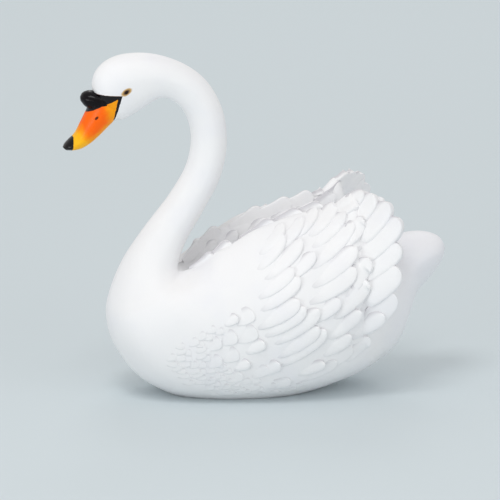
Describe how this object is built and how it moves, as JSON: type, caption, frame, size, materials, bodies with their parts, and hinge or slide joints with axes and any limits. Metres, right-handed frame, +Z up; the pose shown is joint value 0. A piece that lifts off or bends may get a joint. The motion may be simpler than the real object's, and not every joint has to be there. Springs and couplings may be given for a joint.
{
  "type": "swan figurine",
  "caption": "Swan figurine with an S-curved neck, a knobbed bill, raised wings with carved overlapping feathers, a lifted tail and a flat foot to rest on.",
  "frame": {"origin": "on the flat foot, on the plane of symmetry, under the middle of the trunk", "axes": "+Z up, -X toward the bill, +X toward the tail, the XZ plane is the plane of symmetry"},
  "size_m": [0.389, 0.1908, 0.3496],
  "materials": {
    "painted_resin": "white paint, satin"
  },
  "bodies": {
    "root": {"swan": "painted_resin"}
  },
  "joints": []
}
